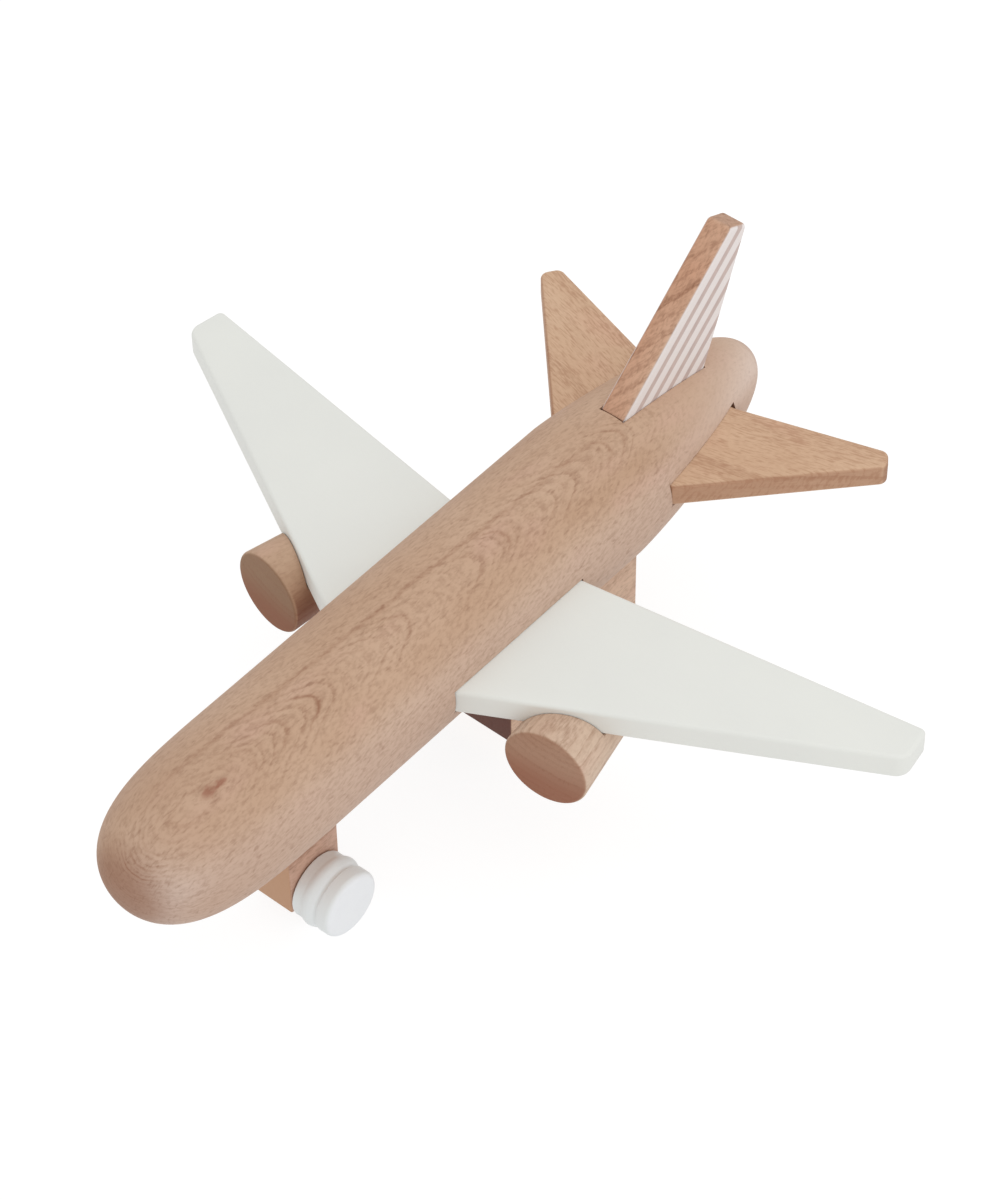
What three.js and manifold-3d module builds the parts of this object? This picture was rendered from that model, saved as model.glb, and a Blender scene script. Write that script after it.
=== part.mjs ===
// Toy jet airliner: turned and sawn beech, painted wings and rolling wheels.
// Millimetres, +Z up, nose towards -Y, port side towards +X.
// The origin is on the floor, under the middle of the fuselage.
import * as THREE from 'three';
import { mergeVertices } from 'three/addons/utils/BufferGeometryUtils.js';
import Module from 'manifold-3d';

const wasm = await Module();
wasm.setup();

// ---------------------------------------------------------------- driving dimensions

// Clearance between a piece and the slot, hole or seat that is cut for it.
const GAP = 0.3;

// The fuselage is a round bar with a blunt nose and a longer tapering tail.
const BODY_RADIUS = 17.5;
const BODY_LENGTH = 200;
const NOSE_LENGTH = 50.5;
const TAIL_LENGTH = 55.7;
// An end's radius is BODY_RADIUS * (1 - u^fullness)^(1 / roundness), with u from 0 to 1 at the tip.
const NOSE = { fullness: 4.18, roundness: 2.23 };
const TAIL = { fullness: 1.27, roundness: 2.51 };
// The nose is sanded away more below than above, so its tip sits above the axis.
const NOSE_RISE = 1.2;

// Boards: heights are measured from the fuselage axis, and plan places are [outboard, aft].
const WING = {
  top: 2.65,
  thickness: 6.3,
  tongue: 7,
  frontRoot: [17.3, -19.05],
  frontTip: [98.85, 25.25],
  rearTip: [97.35, 34.4],
  rearRoot: [17.3, 22.1],
  frontCorner: 3.6,
  rearCorner: 1.4,
};
const STABILIZER = {
  top: 5.3,
  thickness: 5.8,
  tongue: 5,
  frontRoot: [16.6, 53.1],
  frontTip: [48.4, 87.3],
  rearTip: [45.6, 91.2],
  rearRoot: [11.8, 80.8],
  frontCorner: 2,
  rearCorner: 2,
};
// The fin's outline places are [aft, height above the axis].
const FIN = {
  thickness: 6.5,
  tongueHeight: 8.5,
  frontFoot: [53.1, 16.5],
  frontTip: [88.6, 46.8],
  rearTip: [94.3, 44.3],
  rearFoot: [81, 11.4],
  corner: 1.3,
};
const BOARD_EDGE_RADIUS = 0.9;
// The tail slots were routed longer than the boards that fill them.
const FIN_SLOT_EXTRA = 0.5;
const STABILIZER_SLOT_EXTRA = 0.8;

// Engines: tapered round bars that splay outwards towards the front.
const ENGINE = {
  outboard: 38.35,
  front: -15.8,
  height: -8.4,
  length: 36,
  frontRadius: 9.85,
  taper: 0.06,
  rim: 0.8,
  splay: THREE.MathUtils.degToRad(9),
};

// Wheels, axles and the blocks that carry them.
// A wheel rolls on a raised ring, with a shallow groove between the ring and the outer part.
const WHEEL = {
  radius: 8.25,
  outerRadius: 7.75,
  width: 10,
  innerEdge: 0.35,
  outerEdge: 1.3,
  ringStart: 2.3,
  ringEnd: 5.3,
  grooveEnd: 6.7,
  grooveDepth: 0.4,
  boreDepth: 7.2,
};
const AXLE_RADIUS = 1.5;
const AXLE_DROP = 36.4;
const AXLE_PLAY = 0.2;
const WHEEL_BORE_PLAY = 0.1;
const BLOCK_DROP = 40;
const NOSE_GEAR = { aft: -51.7, halfWidth: 6, length: 15 };
const MAIN_GEAR = { aft: 27, halfWidth: 11.2, length: 42.8 };

// Pegs.
const BLOCK_DOWEL = { radius: 3, intoBlock: 6.5, intoBody: 7.5, spread: 11 };
const ENGINE_DOWEL = { radius: 2, intoEngine: 6, intoWing: 3.8, behindFront: 22 };

// Facets in a full turn.
const BODY_SEGMENTS = 64;
const WHEEL_SEGMENTS = 32;
const PEG_SEGMENTS = 20;

// Anything that cuts right through a piece reaches this far beyond it.
const CLEAR = 30;

const SIDES = [['port', 1], ['starboard', -1]];
const axisHeight = AXLE_DROP + WHEEL.radius;

// ---------------------------------------------------------------- materials

const beech = new THREE.Color(0.68, 0.49, 0.36);

function wood(shade = 1) {
  const color = beech.clone().multiplyScalar(shade);
  return new THREE.MeshStandardMaterial({ color, roughness: 0.6, metalness: 0 });
}

function whitePaint() {
  return new THREE.MeshStandardMaterial({ color: 0xe4e5df, roughness: 0.45, metalness: 0 });
}

function whitePlastic() {
  return new THREE.MeshStandardMaterial({ color: 0xe4e6e9, roughness: 0.35, metalness: 0 });
}

function steel() {
  return new THREE.MeshStandardMaterial({ color: 0xb4b6ba, roughness: 0.3, metalness: 1 });
}

// ---------------------------------------------------------------- joining and cutting

// A closed geometry as a solid; triangles that shrink to a line at a pole are dropped.
function solidFrom(geometry) {
  const bare = geometry.clone();
  bare.deleteAttribute('normal');
  bare.deleteAttribute('uv');
  const merged = mergeVertices(bare, 1e-4);
  const corners = merged.index.array;
  const triangles = [];
  for (let i = 0; i < corners.length; i += 3) {
    const [a, b, c] = corners.slice(i, i + 3);
    if (a !== b && b !== c && c !== a) triangles.push(a, b, c);
  }
  return new wasm.Manifold(new wasm.Mesh({
    numProp: 3,
    vertProperties: new Float32Array(merged.attributes.position.array),
    triVerts: new Uint32Array(triangles),
  }));
}

function geometryFrom(solid) {
  const mesh = solid.getMesh();
  const geometry = new THREE.BufferGeometry();
  geometry.setAttribute('position', new THREE.BufferAttribute(mesh.vertProperties, 3));
  geometry.setIndex(new THREE.BufferAttribute(mesh.triVerts, 1));
  geometry.computeVertexNormals();
  return geometry;
}

function cut(geometry, ...tools) {
  let solid = solidFrom(geometry);
  for (const tool of tools) solid = solid.subtract(solidFrom(tool));
  return geometryFrom(solid);
}

// ---------------------------------------------------------------- basic shapes

// A box between two opposite corners, given in any order.
function boxBetween(a, b) {
  const box = new THREE.Box3().setFromPoints([new THREE.Vector3(...a), new THREE.Vector3(...b)]);
  const size = box.getSize(new THREE.Vector3());
  const centre = box.getCenter(new THREE.Vector3());
  return new THREE.BoxGeometry(size.x, size.y, size.z).translate(centre.x, centre.y, centre.z);
}

// An upright peg or hole between two heights.
function uprightRod(radius, x, y, low, high) {
  const rod = new THREE.CylinderGeometry(radius, radius, high - low, PEG_SEGMENTS);
  return rod.rotateX(Math.PI / 2).translate(x, y, (low + high) / 2);
}

// A rod or hole across the airplane, centred on x = 0.
function crossRod(radius, length, y, z) {
  const rod = new THREE.CylinderGeometry(radius, radius, length, PEG_SEGMENTS);
  return rod.rotateZ(Math.PI / 2).translate(0, y, z);
}

// A closed outline through corners [x, y, radius], rounded where a radius is given.
function roundedShape(corners) {
  const shape = new THREE.Shape();
  const points = corners.map(([x, y]) => new THREE.Vector2(x, y));
  points.forEach((point, i) => {
    const before = points.at(i - 1);
    const after = points[(i + 1) % points.length];
    const back = before.clone().sub(point).normalize();
    const ahead = after.clone().sub(point).normalize();
    const halfAngle = Math.acos(back.dot(ahead)) / 2;
    const reach = (corners[i][2] ?? 0) / Math.tan(halfAngle);
    const start = point.clone().addScaledVector(back, reach);
    const end = point.clone().addScaledVector(ahead, reach);
    if (i === 0) shape.moveTo(start.x, start.y);
    else shape.lineTo(start.x, start.y);
    if (reach > 0) shape.quadraticCurveTo(point.x, point.y, end.x, end.y);
  });
  shape.closePath();
  return shape;
}

// A board of the given thickness with rounded edges, lying from z = 0 upwards.
function board(shape, thickness) {
  const edge = BOARD_EDGE_RADIUS;
  const geometry = new THREE.ExtrudeGeometry(shape, {
    depth: thickness - 2 * edge,
    bevelThickness: edge,
    bevelSize: edge,
    bevelOffset: -edge,
    bevelSegments: 3,
    curveSegments: 5,
  });
  return geometry.translate(0, 0, edge);
}

// ---------------------------------------------------------------- fuselage

function endRadius(u, { fullness, roundness }) {
  return BODY_RADIUS * (1 - u ** fullness) ** (1 / roundness);
}

// The profile runs from the nose's tip to the tail's tip, closer together where it curves more.
function fuselageProfile() {
  const noseSteps = 12;
  const tailSteps = 12;
  const half = BODY_LENGTH / 2;
  const profile = [new THREE.Vector2(0, -half)];
  for (let i = noseSteps - 1; i >= 0; i -= 1) {
    const u = Math.sin((i / noseSteps) * Math.PI / 2);
    profile.push(new THREE.Vector2(endRadius(u, NOSE), NOSE_LENGTH * (1 - u) - half));
  }
  for (let i = 0; i < tailSteps; i += 1) {
    const u = Math.sin((i / tailSteps) * Math.PI / 2);
    profile.push(new THREE.Vector2(endRadius(u, TAIL), half - TAIL_LENGTH * (1 - u)));
  }
  profile.push(new THREE.Vector2(0, half));
  return profile;
}

function raiseNose(geometry) {
  const position = geometry.attributes.position;
  const noseStart = NOSE_LENGTH - BODY_LENGTH / 2;
  for (let i = 0; i < position.count; i += 1) {
    const u = Math.max(0, (noseStart - position.getY(i)) / NOSE_LENGTH);
    position.setZ(i, position.getZ(i) + NOSE_RISE * u * u);
  }
  return geometry;
}

// The slot for one side's wing or stabilizer, open through the side of the fuselage.
function boardSlot(part, side, extraAft) {
  return boxBetween(
    [side * (part.tongue - GAP), part.frontRoot[1] - GAP, part.top + GAP],
    [side * CLEAR, part.rearRoot[1] + GAP + extraAft, part.top - part.thickness - GAP],
  );
}

function finSlot() {
  const halfWidth = FIN.thickness / 2 + GAP;
  return boxBetween(
    [-halfWidth, FIN.frontFoot[0] - FIN_SLOT_EXTRA, FIN.tongueHeight - GAP],
    [halfWidth, FIN.rearFoot[0] + GAP, CLEAR],
  );
}

function blockDowelHole(aft) {
  const top = BLOCK_DOWEL.intoBody + GAP - BODY_RADIUS;
  return uprightRod(BLOCK_DOWEL.radius + GAP, 0, aft, -CLEAR, top);
}

function fuselage() {
  const bar = raiseNose(new THREE.LatheGeometry(fuselageProfile(), BODY_SEGMENTS));
  const cuts = [finSlot(), ...blockDowelPlaces().map(({ aft }) => blockDowelHole(aft))];
  for (const [, side] of SIDES) {
    cuts.push(boardSlot(WING, side, 0), boardSlot(STABILIZER, side, STABILIZER_SLOT_EXTRA));
  }
  return cut(bar, ...cuts);
}

// ---------------------------------------------------------------- wings, stabilizers and fin

// The plan of one side's board: a straight tongue inside the slot, then the swept panel.
function boardPlan(part, side) {
  return roundedShape([
    [side * part.tongue, part.frontRoot[1]],
    [side * part.frontRoot[0], part.frontRoot[1]],
    [side * part.frontTip[0], part.frontTip[1], part.frontCorner],
    [side * part.rearTip[0], part.rearTip[1], part.rearCorner],
    [side * part.rearRoot[0], part.rearRoot[1]],
    [side * part.tongue, part.rearRoot[1]],
  ]);
}

function sideBoard(part, side) {
  return board(boardPlan(part, side), part.thickness).translate(0, 0, part.top - part.thickness);
}

function wing(side) {
  const { x, y } = engineDowelPlace(side);
  const underside = WING.top - WING.thickness;
  const top = underside + ENGINE_DOWEL.intoWing + GAP;
  return cut(sideBoard(WING, side), uprightRod(ENGINE_DOWEL.radius + GAP, x, y, -CLEAR, top));
}

function fin() {
  const outline = roundedShape([
    [FIN.frontFoot[0], FIN.tongueHeight],
    [FIN.rearFoot[0], FIN.tongueHeight],
    FIN.rearFoot,
    [...FIN.rearTip, FIN.corner],
    [...FIN.frontTip, FIN.corner],
    FIN.frontFoot,
  ]);
  // The outline's x becomes the airplane's length, its y the height, and the thickness runs across.
  const upright = new THREE.Matrix4().makeBasis(
    new THREE.Vector3(0, 1, 0),
    new THREE.Vector3(0, 0, 1),
    new THREE.Vector3(1, 0, 0),
  );
  return board(outline, FIN.thickness).translate(0, 0, -FIN.thickness / 2).applyMatrix4(upright);
}

// ---------------------------------------------------------------- engines

// The engine's peg stands on the engine's own axis.
function engineDowelPlace(side) {
  const along = ENGINE_DOWEL.behindFront;
  return {
    x: side * (ENGINE.outboard - along * Math.sin(ENGINE.splay)),
    y: ENGINE.front + along * Math.cos(ENGINE.splay),
  };
}

// The space under and behind the wing's leading edge, which the engine is notched to clear.
function wingSeat(side) {
  const [rootX, rootY] = WING.frontRoot;
  const [tipX, tipY] = WING.frontTip;
  const edge = new THREE.Vector2(tipX - rootX, tipY - rootY).normalize();
  const ahead = new THREE.Vector2(edge.y, -edge.x).multiplyScalar(GAP);
  const shape = new THREE.Shape([
    new THREE.Vector2(side * (rootX + ahead.x), rootY + ahead.y),
    new THREE.Vector2(side * (tipX + ahead.x), tipY + ahead.y),
    new THREE.Vector2(side * tipX, tipY + CLEAR),
    new THREE.Vector2(side * rootX, tipY + CLEAR),
  ]);
  const seat = new THREE.ExtrudeGeometry(shape, { depth: CLEAR, bevelEnabled: false });
  return seat.translate(0, 0, WING.top - WING.thickness - GAP);
}

function engine(side) {
  const { length, frontRadius, taper, rim } = ENGINE;
  const rearRadius = frontRadius - taper * length;
  const profile = [new THREE.Vector2(0, 0)];
  const rimSteps = 3;
  for (let i = 0; i <= rimSteps; i += 1) {
    const angle = (i / rimSteps) * Math.PI / 2;
    const radius = frontRadius - rim + rim * Math.sin(angle);
    profile.push(new THREE.Vector2(radius, rim - rim * Math.cos(angle)));
  }
  profile.push(new THREE.Vector2(rearRadius, length - rim));
  profile.push(new THREE.Vector2(rearRadius - rim, length));
  profile.push(new THREE.Vector2(0, length));
  const bar = new THREE.LatheGeometry(profile, WHEEL_SEGMENTS);
  bar.rotateZ(side * ENGINE.splay).translate(side * ENGINE.outboard, ENGINE.front, ENGINE.height);
  const { x, y } = engineDowelPlace(side);
  const bottom = WING.top - WING.thickness - ENGINE_DOWEL.intoEngine - GAP;
  return cut(bar, wingSeat(side), uprightRod(ENGINE_DOWEL.radius + GAP, x, y, bottom, CLEAR));
}

function engineDowel(side) {
  const { x, y } = engineDowelPlace(side);
  const underside = WING.top - WING.thickness;
  const low = underside - ENGINE_DOWEL.intoEngine;
  const high = underside + ENGINE_DOWEL.intoWing;
  return uprightRod(ENGINE_DOWEL.radius, x, y, low, high);
}

// ---------------------------------------------------------------- landing gear

function blockDowelPlaces() {
  return [
    { name: 'nose_block_dowel', aft: NOSE_GEAR.aft },
    { name: 'front_block_dowel', aft: MAIN_GEAR.aft - BLOCK_DOWEL.spread },
    { name: 'rear_block_dowel', aft: MAIN_GEAR.aft + BLOCK_DOWEL.spread },
  ];
}

function blockDowel(aft) {
  const low = -BODY_RADIUS - BLOCK_DOWEL.intoBlock;
  const high = -BODY_RADIUS + BLOCK_DOWEL.intoBody;
  return uprightRod(BLOCK_DOWEL.radius, 0, aft, low, high);
}

// A block under the fuselage: hollowed on top to sit against it, pegged to it, bored for its axle.
function gearBlock({ aft, halfWidth, length }, dowelPlaces) {
  const blank = boxBetween(
    [-halfWidth, aft - length / 2, -BLOCK_DROP],
    [halfWidth, aft + length / 2, 0],
  );
  const seatRadius = BODY_RADIUS + GAP;
  const seat = new THREE.CylinderGeometry(seatRadius, seatRadius, BODY_LENGTH, BODY_SEGMENTS);
  const bore = crossRod(AXLE_RADIUS + AXLE_PLAY, CLEAR * 2, aft, -AXLE_DROP);
  const bottom = -BODY_RADIUS - BLOCK_DOWEL.intoBlock - GAP;
  const holes = dowelPlaces.map((place) => (
    uprightRod(BLOCK_DOWEL.radius + GAP, 0, place.aft, bottom, CLEAR)
  ));
  return cut(blank, seat, bore, ...holes);
}

// A wheel's section, as [radius, distance outboard from its inner face].
function wheelProfile() {
  const { radius, outerRadius, width, innerEdge, outerEdge } = WHEEL;
  const { ringStart, ringEnd, grooveEnd, grooveDepth } = WHEEL;
  const bore = AXLE_RADIUS + WHEEL_BORE_PLAY;
  const profile = [
    [0, WHEEL.boreDepth],
    [bore, WHEEL.boreDepth],
    [bore, 0],
    [outerRadius - innerEdge, 0],
    [outerRadius, innerEdge],
  ];
  const ringSteps = 6;
  for (let i = 0; i <= ringSteps; i += 1) {
    const t = i / ringSteps;
    const rise = (radius - outerRadius) * Math.sin(t * Math.PI);
    profile.push([outerRadius + rise, ringStart + (ringEnd - ringStart) * t]);
  }
  profile.push([outerRadius - grooveDepth, (ringEnd + grooveEnd) / 2]);
  profile.push([outerRadius, grooveEnd]);
  const edgeSteps = 3;
  for (let i = 0; i <= edgeSteps; i += 1) {
    const angle = (i / edgeSteps) * Math.PI / 2;
    profile.push([
      outerRadius - outerEdge + outerEdge * Math.cos(angle),
      width - outerEdge + outerEdge * Math.sin(angle),
    ]);
  }
  profile.push([0, width]);
  return profile.map(([x, y]) => new THREE.Vector2(x, y));
}

// ---------------------------------------------------------------- assembly

const airplane = new THREE.Group();

// Everything that is glued together is placed from the fuselage's axis.
const airframe = new THREE.Group();
airframe.position.z = axisHeight;
airplane.add(airframe);

function add(group, name, geometry, material) {
  const mesh = new THREE.Mesh(geometry, material);
  mesh.name = name;
  group.add(mesh);
  return mesh;
}

add(airframe, 'fuselage', fuselage(), wood());
add(airframe, 'tail_fin', fin(), wood(1.04));
for (const [sideName, side] of SIDES) {
  add(airframe, `${sideName}_wing`, wing(side), whitePaint());
  add(airframe, `${sideName}_stabilizer`, sideBoard(STABILIZER, side), wood(1.06));
  add(airframe, `${sideName}_engine`, engine(side), wood(0.94));
  add(airframe, `${sideName}_engine_dowel`, engineDowel(side), wood(0.9));
}
for (const { name, aft } of blockDowelPlaces()) {
  add(airframe, name, blockDowel(aft), wood(0.9));
}

function addGear(label, gear, dowelPlaces) {
  add(airframe, `${label}_gear_block`, gearBlock(gear, dowelPlaces), wood(0.9));

  // The axle and its two wheels turn as one, about the axle's own line.
  const wheelset = new THREE.Group();
  wheelset.position.set(0, gear.aft, WHEEL.radius);
  airplane.add(wheelset);

  const innerFace = gear.halfWidth + GAP;
  const axleLength = 2 * (innerFace + WHEEL.boreDepth - GAP);
  add(wheelset, `${label}_axle`, crossRod(AXLE_RADIUS, axleLength, 0, 0), steel());
  for (const [sideName, side] of SIDES) {
    const rim = new THREE.LatheGeometry(wheelProfile(), WHEEL_SEGMENTS);
    const wheel = add(wheelset, `${sideName}_${label}_wheel`, rim, whitePlastic());
    wheel.position.x = side * innerFace;
    wheel.rotation.z = -side * Math.PI / 2;
  }
}

const [noseDowel, ...mainDowels] = blockDowelPlaces();
addGear('nose', NOSE_GEAR, [noseDowel]);
addGear('main', MAIN_GEAR, mainDowels);

export default airplane;
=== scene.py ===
import itertools
import math

import bmesh
import bpy
from mathutils import Matrix, Vector


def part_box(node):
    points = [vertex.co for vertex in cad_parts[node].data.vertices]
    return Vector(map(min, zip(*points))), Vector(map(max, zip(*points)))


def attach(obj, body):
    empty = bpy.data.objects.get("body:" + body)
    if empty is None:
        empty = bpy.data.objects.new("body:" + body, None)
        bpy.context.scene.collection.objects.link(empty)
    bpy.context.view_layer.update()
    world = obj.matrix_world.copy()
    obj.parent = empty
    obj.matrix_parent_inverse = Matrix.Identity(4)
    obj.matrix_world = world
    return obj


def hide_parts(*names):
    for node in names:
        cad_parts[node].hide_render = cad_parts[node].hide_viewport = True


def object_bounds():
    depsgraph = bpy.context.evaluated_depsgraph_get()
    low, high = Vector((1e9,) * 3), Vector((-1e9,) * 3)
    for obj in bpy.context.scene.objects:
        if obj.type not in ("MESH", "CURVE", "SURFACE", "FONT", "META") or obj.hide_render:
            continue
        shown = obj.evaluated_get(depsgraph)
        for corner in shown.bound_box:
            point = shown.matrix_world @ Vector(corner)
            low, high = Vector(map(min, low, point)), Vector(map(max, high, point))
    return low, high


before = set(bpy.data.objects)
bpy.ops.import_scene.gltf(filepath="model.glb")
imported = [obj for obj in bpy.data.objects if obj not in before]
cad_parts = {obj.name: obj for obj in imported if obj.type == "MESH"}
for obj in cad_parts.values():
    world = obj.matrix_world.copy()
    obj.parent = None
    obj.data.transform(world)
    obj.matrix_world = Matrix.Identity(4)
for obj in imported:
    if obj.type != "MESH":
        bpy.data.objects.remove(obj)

cad_low, cad_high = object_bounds()
MM = 0.001


# ---------------------------------------------------------------- sizes taken from the frame

def box_mm(node):
    """The lowest and highest corners of a CAD node, in millimetres."""
    low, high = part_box(node)
    return low / MM, high / MM


body_low, body_high = box_mm("fuselage")
BODY_RADIUS = (body_high.x - body_low.x) / 2
BODY_LENGTH = body_high.y - body_low.y
AXIS_HEIGHT = body_high.z - BODY_RADIUS
NOSE_TIP = body_low.y
TAIL_TIP = body_high.y


# ---------------------------------------------------------------- driving dimensions

# The ends of the fuselage: radius = BODY_RADIUS * (1 - u^fullness)^(1 / roundness), u = 1 at the tip.
NOSE = {"length": 50.5, "fullness": 4.18, "roundness": 2.23}
TAIL = {"length": 55.7, "fullness": 1.27, "roundness": 2.51}
NOSE_RISE = 1.2

# Heights are measured from the fuselage's axis, and plan places are (outboard, aft).
WING = {
    "top": 2.65,
    "thickness": 6.3,
    "tongue": 7,
    "front_root": (17.3, -19.05),
    "front_tip": (98.85, 25.25),
    "rear_tip": (97.35, 34.4),
    "rear_root": (17.3, 22.1),
    "front_corner": 3.6,
    "rear_corner": 1.4,
    "slot_extra": 0,
}
STABILIZER = {
    "top": 5.3,
    "thickness": 5.8,
    "tongue": 5,
    "front_root": (16.6, 53.1),
    "front_tip": (48.4, 87.3),
    "rear_tip": (45.6, 91.2),
    "rear_root": (11.8, 80.8),
    "front_corner": 2,
    "rear_corner": 2,
    "slot_extra": 0.8,
}
# The fin's outline places are (aft, height above the axis).
FIN = {
    "thickness": 6.5,
    "tongue": 8.5,
    "front_foot": (53.1, 16.5),
    "front_tip": (88.6, 46.75),
    "rear_tip": (94.3, 44.3),
    "rear_foot": (81, 11.4),
    "corner": 1.3,
    "slot_extra": 0.5,
}
BOARD_EDGE = 0.9

ENGINE = {
    "outboard": 38.35,
    "front": -15.8,
    "height": -8.4,
    "length": 36,
    "front_radius": 9.85,
    "taper": 0.06,
    "rim": 0.8,
    "splay": math.radians(9),
}

# A wheel rolls on a raised ring, with a shallow groove between the ring and the outer part.
WHEEL = {
    "inner_edge": 0.35,
    "outer_edge": 1.3,
    "ring_start": 2.3,
    "ring_end": 5.3,
    "ring_height": 0.5,
    "groove_end": 6.7,
    "groove_depth": 0.4,
    "bore_depth": 7.2,
}
BLOCK_EDGE = 0.5

# Clearances: a board in its slot or an axle in its wheel, a part on its seat, and a peg or
# axle in its hole.
SLOT_GAP = 0.12
SEAT_GAP = 0.15
HOLE_GAP = 0.2
# A cutter that reaches this far passes right through its part.
CLEAR = 40

# How finely round things are divided, and how sharp an edge has to be to stay sharp.
FUSELAGE_SEGMENTS = 256
SEGMENTS = 128
CUTTER_SEGMENTS = 48
CORNER_STEPS = 10
EDGE_STEPS = 8
SHARP = math.radians(35)

SIDES = (("port", 1), ("starboard", -1))

# Lays a turned part's axis from upright to aft.
LYING = Matrix.Rotation(-math.pi / 2, 4, "X")


# ---------------------------------------------------------------- shader arithmetic

ACROSS = (1, 0, 0)
AFT = (0, 1, 0)
UP = (0, 0, 1)


class Term:
    """A number or vector inside a shader. Arithmetic on it adds the nodes that work it out."""

    def __init__(self, graph, socket):
        self.graph = graph
        self.socket = socket

    def __add__(self, other):
        return self.graph.math("ADD", self, other)

    def __sub__(self, other):
        return self.graph.math("SUBTRACT", self, other)

    def __rsub__(self, other):
        return self.graph.math("SUBTRACT", other, self)

    def __mul__(self, other):
        return self.graph.math("MULTIPLY", self, other)

    def __truediv__(self, other):
        return self.graph.math("DIVIDE", self, other)

    def __abs__(self):
        return self.graph.math("ABSOLUTE", self)

    __radd__ = __add__
    __rmul__ = __mul__


class Graph:
    """One material's node graph. Its methods add nodes and return what they give."""

    def __init__(self, name):
        self.material = bpy.data.materials.new(name)
        self.material.use_nodes = True
        self.tree = self.material.node_tree
        self.surface = self.tree.nodes["Principled BSDF"]

    def node(self, kind, **settings):
        made = self.tree.nodes.new(kind)
        for key, value in settings.items():
            setattr(made, key, value)
        return made

    def feed(self, socket, value):
        if isinstance(value, Term):
            self.tree.links.new(value.socket, socket)
        else:
            socket.default_value = value

    def math(self, operation, *values):
        made = self.node("ShaderNodeMath", operation=operation)
        for socket, value in zip(made.inputs, values):
            self.feed(socket, value)
        return Term(self, made.outputs[0])

    def place(self):
        """The point being shaded, in millimetres in the airplane's own frame at rest."""
        source = self.node("ShaderNodeTexCoord")
        scaled = self.node("ShaderNodeVectorMath", operation="SCALE")
        self.tree.links.new(source.outputs["Object"], scaled.inputs[0])
        scaled.inputs["Scale"].default_value = 1 / MM
        return Term(self, scaled.outputs[0])

    def normal(self):
        """The surface direction, in the airplane's own frame at rest."""
        source = self.node("ShaderNodeTexCoord")
        return Term(self, source.outputs["Normal"])

    def dot(self, vector, direction):
        made = self.node("ShaderNodeVectorMath", operation="DOT_PRODUCT")
        self.feed(made.inputs[0], vector)
        made.inputs[1].default_value = direction
        return Term(self, made.outputs["Value"])

    def axes(self):
        """The x, y and z of the point being shaded."""
        place = self.place()
        return [self.dot(place, direction) for direction in (ACROSS, AFT, UP)]

    def length(self, x, y):
        return self.math("SQRT", x * x + y * y)

    def fraction(self, value):
        return self.math("FRACT", value)

    def noise(self, x, y, z, detail=2.0, roughness=0.5):
        """Smooth noise about 0, from -1 to 1, one feature per unit of x, y and z."""
        joined = self.node("ShaderNodeCombineXYZ")
        for socket, value in zip(joined.inputs, (x, y, z)):
            self.feed(socket, value)
        made = self.node("ShaderNodeTexNoise")
        made.inputs["Scale"].default_value = 1
        made.inputs["Detail"].default_value = detail
        made.inputs["Roughness"].default_value = roughness
        self.tree.links.new(joined.outputs[0], made.inputs["Vector"])
        return Term(self, made.outputs["Fac"]) * 2 - 1

    def step(self, value, low, high):
        """0 below low, 1 above high, and smooth between them."""
        made = self.node("ShaderNodeMapRange", interpolation_type="SMOOTHSTEP")
        self.feed(made.inputs["Value"], value)
        made.inputs["From Min"].default_value = low
        made.inputs["From Max"].default_value = high
        return Term(self, made.outputs["Result"])

    def mix(self, share, first, second):
        """The first colour where share is 0, and the second where it is 1."""
        made = self.node("ShaderNodeMix", data_type="RGBA")
        self.feed(made.inputs[0], share)
        self.feed(made.inputs[6], first)
        self.feed(made.inputs[7], second)
        return Term(self, made.outputs[2])

    def finish(self, colour, roughness, relief=None, relief_height=0.0):
        """Joins colour, roughness and a relief, whose height is in millimetres, to the surface."""
        self.feed(self.surface.inputs["Base Color"], colour)
        self.feed(self.surface.inputs["Roughness"], roughness)
        if relief is not None:
            bump = self.node("ShaderNodeBump")
            bump.inputs["Distance"].default_value = relief_height * MM
            self.feed(bump.inputs["Height"], relief)
            self.tree.links.new(bump.outputs[0], self.surface.inputs["Normal"])
        return self.material


def srgb(red, green, blue):
    """A colour given as 0 to 255 on a screen, as the linear colour a shader needs."""
    def linear(value):
        share = value / 255
        return share / 12.92 if share <= 0.04045 else ((share + 0.055) / 1.055) ** 2.4
    return (linear(red), linear(green), linear(blue), 1)


# ---------------------------------------------------------------- wood

BEECH = {
    "light": srgb(208, 177, 152),
    "dark": srgb(190, 154, 126),
    "pink": srgb(209, 171, 151),
    "ring": srgb(146, 100, 74),
    "fleck": srgb(132, 92, 68),
    "end": srgb(156, 114, 90),
    "edge": srgb(192, 157, 132),
}

# The sizes of beech's features: (across the grain, along the grain).
STRAY = (14, 24)
RIPPLE = (1.3, 3.5)
CLOUD = (16, 38)
BLUSH = (9, 20)
FIBRE = (0.7, 5)
SPECK = (0.7, 1.2)
# A stroke's size: (through the rings, across the grain, along the grain).
STROKE = (0.4, 1.6, 2.2)

# How strongly each kind of fine mark shows.
FINE = {"stroke": 0.6, "fibre": 0.3, "speck": 0.5}

# Shares of a ring's width: its late wood darkens slowly through the first and ends in the other.
LATE_DARKENS = (0.3, 0.85)
LATE_ENDS = (0.88, 1.0)

# A paler flank, painted sheen as if lit from the port side, is palest below and to port of these
# places, and gone above and to starboard.
SHEEN_FLANK_TOP = (6, 16.5)
SHEEN_FLANK_SIDE = (-8, 6)

# How much of a tone is mixed in where it shows most.
PINK_SHARE = 0.6
PAINTED_SHEEN_SHARE = 0.75
EDGE_SHARE = 0.6
END_SHARE = 0.8


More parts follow.
